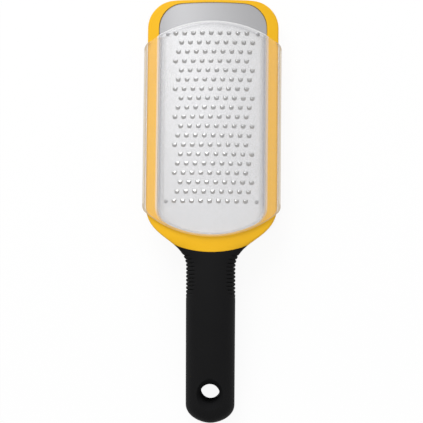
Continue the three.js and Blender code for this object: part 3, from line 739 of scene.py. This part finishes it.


# The rivets' steel is painted darker than the plate's: painted shade for the shadow round their heads, with
# a random mottle.
rivet_steel, shader, place = new_material("rivet_steel", Metallic=1.0)
rivet_mottle = noise(place, 1200, 3)
feed(shader, Base_Color=rivet_mottle.blend(linear("8E8E90"), linear("7C7C7F")), Roughness=0.36 + 0.12 * rivet_mottle)
for row, y in zip(("heel", "tip"), RIVET_ROWS):
    for hand, side in (("left", -1), ("right", 1)):
        rivet = turned_piece(f"rivet_{row}_{hand}", rivet_profile, RIVET_SIDES)
        tilt = side * math.asin(RIVET_X / DOME_RADIUS)
        rivet.matrix_world = (Matrix.Translation((0, y, DOME_CENTRE)) @ Matrix.Rotation(tilt, 4, "Y")
                              @ Matrix.Translation((0, 0, DOME_RADIUS)))
        lay_down(rivet, 35)
        rivet.data.materials.append(rivet_steel)
        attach(rivet, "grater")
        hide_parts(f"plate_rivet_{row}_{hand}")


# Foot
# A strip of soft black rubber that keeps the grater from slipping. It is pressed into a groove under
# the tip, and its sole lies flat on the table.

FOOT_HALF = 0.0269
FOOT_FRONT = 0.1383
FOOT_BACK = 0.1319
FOOT_DEPTH = 0.0040
FOOT_TOP = -0.0003
FOOT_BEVEL = 0.0006

foot_back_low = -FOOT_DEPTH - (FOOT_FRONT - FOOT_BACK) * math.tan(REST_ANGLE)
bpy.ops.object.select_all(action="DESELECT")
bpy.ops.mesh.primitive_cube_add(size=1)
foot = bpy.context.object
foot.name = "soft_foot"
for vertex in foot.data.vertices:
    x = math.copysign(FOOT_HALF, vertex.co.x)
    y, low = (FOOT_FRONT, -FOOT_DEPTH) if vertex.co.y > 0 else (FOOT_BACK, foot_back_low)
    vertex.co = (x, y, FOOT_TOP if vertex.co.z > 0 else low)
apply_modifier(foot, "BEVEL", width=FOOT_BEVEL, segments=3)
lay_down(foot, 40)

grip_black, shader, place = new_material("grip_black", Specular_IOR_Level=0.12)
cloud = noise(place, 60)
pores = noise(place, 3200, 2)
feed(shader, Base_Color=cloud.blend(linear("141415"), linear("111112")),
     Roughness=0.58 + 0.10 * pores, Normal=bump(place, pores, 0.12, 0.00006))
foot.data.materials.append(grip_black)
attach(foot, "grater")
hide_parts("tip_foot")


# Core
# A stiff moulded bar inside the handle, with a tenon in the frame's neck. The neck and the grip hide
# all but the tenon's end, which shows only from below, so its plain solid is kept.

core_black, shader, place = new_material("core_black", IOR=1.5)
speckle = noise(place, 1500)
feed(shader, Base_Color=speckle.blend(linear("2A2A2C"), linear("262628")), Roughness=0.45 + 0.1 * speckle)
core = frame["nodes"]["handle_core"]
core.data.materials.clear()
core.data.materials.append(core_black)


# Grip
# A soft black rubber sleeve moulded over the core. Flexible fins stand along both sides behind the
# neck, and a flared hole near the end lets it hang.

GRIP_SIDES = 96
GRIP_GAP = 0.00003
JOIN_ROUNDS = 12
FIN_COUNT = 11
FIN_PITCH = 0.00256
FIN_START = 0.0342
FIN_STEPS = 8
GROOVE_DEPTH = 0.0011
FADE_LENGTH = 2.5 * FIN_PITCH
PATCH_EDGE = 0.84
PATCH_REACH = 0.26
REACH_FADE = 0.14


def patch_share(y):
    """How deep into the oval patch of fins a section lies: 0 at both ends, 1 in the middle."""
    along = (-y - FIN_START + FIN_PITCH) / ((FIN_COUNT + 2) * FIN_PITCH)
    return math.sqrt(max(0, 1 - (2 * along - 1) ** 2))


def groove_depth(y):
    """The fins are rounded like stacked beads with narrow grooves, and the last grooves are shallow."""
    nearest = min(range(FIN_COUNT + 1), key=lambda k: abs(-y - FIN_START - k * FIN_PITCH))
    off = min(1, abs(-y - FIN_START - nearest * FIN_PITCH) / (FIN_PITCH / 2))
    to_last = FIN_START + (FIN_COUNT + 0.5) * FIN_PITCH + y
    fade = min(1, max(0, to_last / FADE_LENGTH))
    return GROOVE_DEPTH * (1 - math.sqrt(1 - (1 - off) ** 2)) * fade


def grip_point(angle, y):
    """A point of the grip's skin, taken in where a groove runs between two fins."""
    half = half_width(y)
    across = math.cos(angle)
    x = half * across
    z = skin_height(x, y, 1 if math.sin(angle) >= 0 else -1)
    patch_inner = PATCH_EDGE - PATCH_REACH * patch_share(y)
    reach = ease(abs(across), patch_inner, patch_inner + REACH_FADE)
    spine = spine_height(y)
    inward = 1 - groove_depth(y) * reach / max(half, GROOVE_DEPTH)
    return x * inward, y, spine + (z - spine) * inward


def join_line(angle):
    """Where the grip starts along the curved line at the neck."""
    centre = JOIN_RADIUS - JOIN_Y
    y = -JOIN_Y
    for _ in range(JOIN_ROUNDS):
        x = half_width(y) * math.cos(angle)
        y = centre - math.sqrt((JOIN_RADIUS + GRIP_GAP) ** 2 - x ** 2)
    return y


JOIN_STEPS = 4
SLEEVE_ROWS = 40
END_ROWS = 14
END_REACH = 0.9999

grip_angles = [2 * math.pi * (k + 0.5) / GRIP_SIDES for k in range(GRIP_SIDES)]
fin_first = -FIN_START + FIN_PITCH / 2
fin_last = -FIN_START - (FIN_COUNT + 0.5) * FIN_PITCH
end_start = HANDLE_END + HANDLE_END_LENGTH
fin_rows = (FIN_COUNT + 1) * FIN_STEPS
grip_rows = [lerp(fin_first, fin_last, k / fin_rows) for k in range(fin_rows)]
grip_rows += [lerp(fin_last, end_start, k / SLEEVE_ROWS) for k in range(SLEEVE_ROWS)]
grip_rows += [end_start - HANDLE_END_LENGTH * math.sin(k / END_ROWS * math.pi / 2) * END_REACH
              for k in range(END_ROWS + 1)]

grip = start_ring("soft_grip", [grip_point(a, join_line(a)) for a in grip_angles])
for k in range(1, JOIN_STEPS):
    extrude_ring(grip, [grip_point(a, lerp(join_line(a), fin_first, k / JOIN_STEPS)) for a in grip_angles])
for y in grip_rows:
    extrude_ring(grip, [grip_point(a, y) for a in grip_angles])
cap_ends()
close_mesh(grip)

HOLE_RADIUS = 0.0065
DISH_RADIUS = 0.0112
DISH_DEPTH = 0.0062
UNDER_DISH_RADIUS = 0.0095
UNDER_DISH_DEPTH = 0.0030
HOLE_TO_END = 0.0212
HOLE_SIDES = 72
FLARE_STEPS = 10
FLARE_RISE = 1.5

hole_y = HANDLE_END + HOLE_TO_END
surface = half_depth(hole_y)


def flare(radius, depth):
    """Rings of a dish that opens from the hole to the grip's skin, and half its depth past it."""
    rises = [FLARE_RISE * k / FLARE_STEPS for k in range(FLARE_STEPS + 1)]
    return [(lerp(HOLE_RADIUS, radius, rise ** 2), surface + depth * (rise - 1)) for rise in rises]


under_rings = [(r, -h) for r, h in reversed(flare(UNDER_DISH_RADIUS, UNDER_DISH_DEPTH))]
cutter = turned_piece("hole_cutter", under_rings + flare(DISH_RADIUS, DISH_DEPTH), HOLE_SIDES)
cutter.matrix_world = (Matrix.Translation((0, hole_y, spine_height(hole_y)))
                       @ Matrix.Rotation(HANDLE_BEND, 4, "X"))
# The hole's wall is duller than the skin of the grip.
hole_black, shader, place = new_material("hole_black", Specular_IOR_Level=0.0)
dull = noise(place, 60)
feed(shader, Base_Color=dull.blend(linear("1D1D1E"), linear("19191A")), Roughness=0.7 + 0.1 * dull)
grip.data.materials.append(grip_black)
cutter.data.materials.append(hole_black)
apply_modifier(grip, "BOOLEAN", operation="DIFFERENCE", object=cutter, solver="EXACT",
               material_mode="TRANSFER")
bpy.data.objects.remove(cutter)
lay_down(grip, 35)
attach(grip, "grater")
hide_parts("handle_grip")


# Cover
# A thin slip-on cover of frosted plastic. Its middle is raised clear of the teeth, and lips along
# both sides hook under the frame's rails, so it slides off over the tip.

COVER_HALF = 0.0467
COVER_TIP = 0.1234
COVER_TIP_RADIUS = 0.080
COVER_CORNER = 0.006
COVER_HEEL = -0.0215
COVER_HEEL_RADIUS = 0.070
COVER_WALL = 0.0012
COVER_BAND = 0.0016
COVER_RISE = 0.0018
COVER_STEP = 0.0018
COVER_BEVEL = 0.0004
STEP_HALF = 0.0376
STEP_TIP_CORNER = 0.0001
STEP_HEEL = -0.0211
STEP_HEEL_RADIUS = 0.0680
STEP_HEEL_CORNER = 0.0140
RAIL_END = 0.0006
LIP_GAP = 0.0004
SKIRT_GAP = 0.0006
SIDE_MARGIN = 1e-5
LIP_LOW = rail_underside - LIP_GAP - COVER_WALL
LIP_INNER = SKIRT_HALF + SKIRT_GAP
BAND_STEPS, SLOPE_STEPS, CROWN_STEPS = 5, 6, 24
COVER_SIDE_STEPS = 26
HEEL_SIDE_STEPS = 2


def tip_arc(x):
    """Where the cover's curved edge by the tip lies."""
    return COVER_TIP - COVER_TIP_RADIUS + math.sqrt(COVER_TIP_RADIUS ** 2 - x ** 2)


def half_chain(half, corner, heel, heel_radius, heel_corner):
    """Right side of an outline from the tip's arc, down the side and round to the middle of the heel."""
    heel_centre = heel + heel_radius
    heel_y = heel_centre - math.sqrt((heel_radius - heel_corner) ** 2 - (half - heel_corner) ** 2)
    heel_angle = math.atan2(heel_y - heel_centre, half - heel_corner)
    tip_centre = COVER_TIP - COVER_TIP_RADIUS
    corner_y = tip_centre + math.sqrt((COVER_TIP_RADIUS - corner) ** 2 - (half - corner) ** 2)
    tip_angle = math.atan2(corner_y - tip_centre, half - corner)
    points = arc((half - corner, corner_y), corner, tip_angle, 0, CORNER_STEPS)
    points += line((half, corner_y), (half, RAIL_END), COVER_SIDE_STEPS)
    points += line((half, RAIL_END), (half, heel_y), HEEL_SIDE_STEPS)
    points += arc((half - heel_corner, heel_y), heel_corner, 0, heel_angle, BEND_STEPS)
    points += arc((0, heel_centre), heel_radius, heel_angle, -math.pi / 2, HEEL_STEPS)
    return points + [(0, heel)]


edge_chain = half_chain(COVER_HALF, COVER_CORNER, COVER_HEEL, COVER_HEEL_RADIUS, COVER_CORNER)
foot_chain = half_chain(STEP_HALF, STEP_TIP_CORNER, STEP_HEEL, STEP_HEEL_RADIUS, STEP_HEEL_CORNER)
crown_chain = half_chain(STEP_HALF - COVER_STEP, STEP_TIP_CORNER, STEP_HEEL + COVER_STEP,
                         STEP_HEEL_RADIUS - COVER_STEP, STEP_HEEL_CORNER - COVER_STEP)


def cover_row(k):
    """One row of points across the cover, from its left edge over the crown to its right edge."""
    (ex, ey), (fx, fy), (cx, cy) = edge_chain[k], foot_chain[k], crown_chain[k]
    right = []
    for step in range(BAND_STEPS):
        share = step / BAND_STEPS
        x = lerp(ex, fx, share)
        right.append((x, lerp(ey, fy, share), dome_height(x, COVER_BAND)))
    for step in range(SLOPE_STEPS):
        share = step / SLOPE_STEPS
        x = lerp(fx, cx, share)
        rise = COVER_BAND + COVER_RISE * ease(share, 0, 1)
        right.append((x, lerp(fy, cy, share), dome_height(x, rise)))
    left = [(-x, y, z) for x, y, z in right]
    crown = []
    bow = max(0, 1 - k / (CORNER_STEPS + COVER_SIDE_STEPS / 2))
    for step in range(CROWN_STEPS + 1):
        x = lerp(-cx, cx, step / CROWN_STEPS)
        y = cy + (tip_arc(x) - tip_arc(cx)) * bow
        crown.append((x, y, dome_height(x, COVER_BAND + COVER_RISE)))
    return left + crown + right[::-1]


cover_rows = [cover_row(k) for k in range(len(edge_chain))]
row_points = len(cover_rows[0])


def profile_share(column):
    """How far a point lies into the cover: 0 at its side edge, 1 and 2 at the step, 3 in its middle."""
    inward = min(column, row_points - 1 - column)
    if inward < BAND_STEPS:
        return inward / BAND_STEPS
    if inward < BAND_STEPS + SLOPE_STEPS:
        return 1 + (inward - BAND_STEPS) / SLOPE_STEPS
    return 2 + (inward - BAND_STEPS - SLOPE_STEPS) / (CROWN_STEPS / 2)


bpy.ops.object.select_all(action="DESELECT")
bpy.ops.mesh.primitive_grid_add(x_subdivisions=row_points - 1, y_subdivisions=len(cover_rows) - 1)
cover = bpy.context.object
cover.name = "frosted_cover"
profile = cover.data.attributes.new("profile", "FLOAT", "POINT")
from_tip = cover.data.attributes.new("from_tip", "FLOAT", "POINT")
for k, vertex in enumerate(cover.data.vertices):
    vertex.co = cover_rows[len(cover_rows) - 1 - k // row_points][k % row_points]
    profile.data[k].value = profile_share(k % row_points)
    from_tip.data[k].value = tip_arc(vertex.co.x) - vertex.co.y
bpy.ops.object.mode_set(mode="EDIT")
bpy.ops.mesh.select_all(action="SELECT")
bpy.ops.mesh.remove_doubles(threshold=TOUCHING)
bpy.ops.mesh.normals_make_consistent(inside=False)


def extrude_sides(height, inward):
    """Takes the selected side edges down or inwards by one fold of the channel."""
    bpy.ops.mesh.extrude_edges_indiv()
    mesh = bmesh.from_edit_mesh(cover.data)
    side_share = mesh.verts.layers.float["profile"]
    for vertex in mesh.verts:
        if vertex.select:
            vertex.co.z = height
            vertex.co.x -= math.copysign(inward, vertex.co.x)
            vertex[side_share] = -1
    bmesh.update_edit_mesh(cover.data)


mesh = bmesh.from_edit_mesh(cover.data)
bpy.ops.mesh.select_all(action="DESELECT")
for edge in mesh.edges:
    at_edge = all(abs(vertex.co.x) > COVER_HALF - SIDE_MARGIN for vertex in edge.verts)
    along_rail = all(vertex.co.y > RAIL_END - SIDE_MARGIN for vertex in edge.verts)
    edge.select_set(at_edge and along_rail and edge.is_boundary)
bmesh.update_edit_mesh(cover.data)
extrude_sides(LIP_LOW, 0)
extrude_sides(LIP_LOW, COVER_HALF - LIP_INNER)
close_mesh(cover)
if max(cover.data.polygons, key=lambda face: face.center.z).normal.z < 0:
    cover.data.flip_normals()
apply_modifier(cover, "SOLIDIFY", thickness=COVER_WALL, offset=-1, use_quality_normals=True,
               material_offset_rim=1)
apply_modifier(cover, "BEVEL", width=COVER_BEVEL, segments=2, limit_method="ANGLE",
               angle_limit=math.radians(50), material=1)
drop_slivers(cover)
lay_down(cover, 40)

cover_frost, shader, place = new_material("cover_frost", IOR=1.48)
mist = noise(place, 25)
frost = noise(place, 1800, 2)
# Places across the cover count as profile_share does, and places from its tip are in metres.
inward = place.node("ShaderNodeAttribute", {}, output="Fac", attribute_name="profile")
from_tip = place.node("ShaderNodeAttribute", {}, output="Fac", attribute_name="from_tip")
frosted = inward.step(1.3, 2.0)
wall = inward.step(-0.5, -0.05) * (1 - inward.step(0.16, 0.26))
# The painted lines along the sides fade towards the heel.
along_side = 1 - 0.6 * from_tip.step(0.112, 0.128)
# A painted highlight, white and more opaque, along the foot of the side step.
step_highlight = along_side * inward.step(0.9, 1.1) * (1 - inward.step(1.55, 1.7))
# A painted shade, grey, along the top of the side step.
fold = along_side * inward.step(1.6, 1.85) * (1 - inward.step(2.02, 2.08))
# A painted highlight, white and more opaque, along the cover's edge by the tip.
rim = inward.step(0.9, 1.1) * (1 - from_tip.step(0.0004, 0.0008))
# A painted shade band, grey, just behind the edge by the tip.
groove = 0.5 * frosted * from_tip.step(0.0008, 0.0016) * (1 - from_tip.step(0.0024, 0.0044))
white = mist.blend(linear("FFFFFF"), linear("FBFBFC"))
shade = fold.maths("MAXIMUM", fold, groove) * (1 - rim)
shaded = shade.blend(white, linear("ABABB0"))
feed(shader, Base_Color=wall.blend(shaded, linear("C2AE8A")), Roughness=0.38 + 0.1 * frost,
     Alpha=0.05 + 0.10 * frosted + 0.02 * mist + 0.10 * fold + 0.35 * step_highlight + 0.52 * wall + 0.4 * rim,
     Normal=bump(place, frost, 0.05, 0.00004))
cover_edge, shader, place = new_material("cover_edge", IOR=1.48)
sparkle = noise(place, 1800, 2)
feed(shader, Base_Color=sparkle.blend(linear("FFFFFF"), linear("F6F6F8")), Roughness=0.3 + 0.1 * sparkle,
     Alpha=0.70 + 0.1 * sparkle)
cover.data.materials.clear()
cover.data.materials.append(cover_frost)
cover.data.materials.append(cover_edge)
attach(cover, "cover")
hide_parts("cover")


# Table, light and camera
# The grater lies on a plain white table under soft light from the upper left, seen from above.
# Under the head the table is painted grey, a painted shadow, so that the openings of the teeth look dark.

TABLE_SIZE = 40
TABLE_TOP = -0.0004
TABLE_GLOW = 0.92
SHADED_SIDE = (0.032, 0.0455)
SHADED_HEEL = (-0.014, 0.003)
SHADED_TIP = (0.126, 0.142)

bpy.ops.object.select_all(action="DESELECT")
bpy.ops.mesh.primitive_plane_add(size=TABLE_SIZE, location=(0, 0, TABLE_TOP))
table = bpy.context.object
table.name = "table"
table_white, shader, place = new_material("table_white", Roughness=0.9)
tree = table_white.node_tree
path = tree.nodes.new("ShaderNodeLightPath")
seen = Finish(tree, path.outputs["Is Camera Ray"]) + Finish(tree, path.outputs["Is Glossy Ray"])
seen = seen + Finish(tree, path.outputs["Is Transmission Ray"])
spot = tree.nodes.new("ShaderNodeSeparateXYZ")
tree.links.new(place.socket, spot.inputs[0])
table_x, table_y = Finish(tree, spot.outputs["X"]), Finish(tree, spot.outputs["Y"])
beside = table_x.maths("ABSOLUTE", table_x, 0).step(*SHADED_SIDE)
open_table = 1 - (1 - beside) * table_y.step(*SHADED_HEEL) * (1 - table_y.step(*SHADED_TIP))
paper = noise(place, 8)
white = paper.blend(linear("FAFAFA"), linear("F8F8F8"))
# Painted shadow: the table's colour is grey under the head and white elsewhere.
feed(shader, Base_Color=open_table.blend(linear("BCBCBC"), white))
glow = place.node("ShaderNodeEmission", {"Color": (1, 1, 1, 1), "Strength": 1.0})
lit = Finish(tree, shader.outputs[0])
shown = place.node("ShaderNodeMixShader", {0: TABLE_GLOW * seen * open_table, 1: lit, 2: glow})
tree.links.new(shown.socket, tree.nodes["Material Output"].inputs["Surface"])
table.data.materials.append(table_white)

scene = bpy.context.scene
world = bpy.data.worlds.new("studio")
scene.world = world
world.use_nodes = True
tree = world.node_tree
direction = Finish(tree).node("ShaderNodeTexCoord", {}, output="Generated")
split = tree.nodes.new("ShaderNodeSeparateXYZ")
tree.links.new(direction.socket, split.inputs[0])
across, along, up = [Finish(tree, split.outputs[axis]) for axis in "XYZ"]
background = tree.nodes["Background"]
background.inputs["Color"].default_value = (1, 1, 1, 1)
# The sky is brighter overhead and at both sides. A soft band overhead, towards the tip, is brightest
# on its left.
upper = along.step(0.08, 0.24)
panel = -0.03 + 0.60 * upper - 0.60 * along.step(0.25, 0.36) + across * (0.25 - 0.90 * upper)
sides = (across * across).step(0.25, 0.80)
sky = 0.22 + 0.50 * up.step(0.25, 0.70) + 0.22 * sides + panel * up.step(0.75, 0.92)
tree.links.new(sky.socket, background.inputs["Strength"])

KEY_POWER = 28
KEY_SIZE = 1.2
KEY_PLACE = Vector((-0.48, 1.58, 1.14))
KEY_AIM = Vector((0, 0.02, 0.02))

key_data = bpy.data.lights.new("key", "AREA")
key_data.energy = KEY_POWER
key_data.size = KEY_SIZE
key = bpy.data.objects.new("key", key_data)
key.location = KEY_PLACE
key.rotation_euler = (KEY_AIM - KEY_PLACE).to_track_quat("-Z", "Y").to_euler()
bpy.context.collection.objects.link(key)

CAMERA_DISTANCE = 0.70
CAMERA_SIDE = math.radians(2.0)
CAMERA_ROLL = math.radians(0.48)
PICTURE_WIDTH = 0.2877
SENSOR_WIDTH = 36
TARGET = Vector((0.0, 0.0006, 0.014))

camera_data = bpy.data.cameras.new("camera")
camera_data.sensor_width = SENSOR_WIDTH
camera_data.lens = SENSOR_WIDTH * CAMERA_DISTANCE / PICTURE_WIDTH
camera = bpy.data.objects.new("camera", camera_data)
camera.matrix_world = (Matrix.Translation(TARGET) @ Matrix.Rotation(CAMERA_SIDE, 4, "Y")
                       @ Matrix.Rotation(CAMERA_ROLL, 4, "Z") @ Matrix.Translation((0, 0, CAMERA_DISTANCE)))
bpy.context.collection.objects.link(camera)
scene.camera = camera
scene.view_settings.view_transform = "Standard"
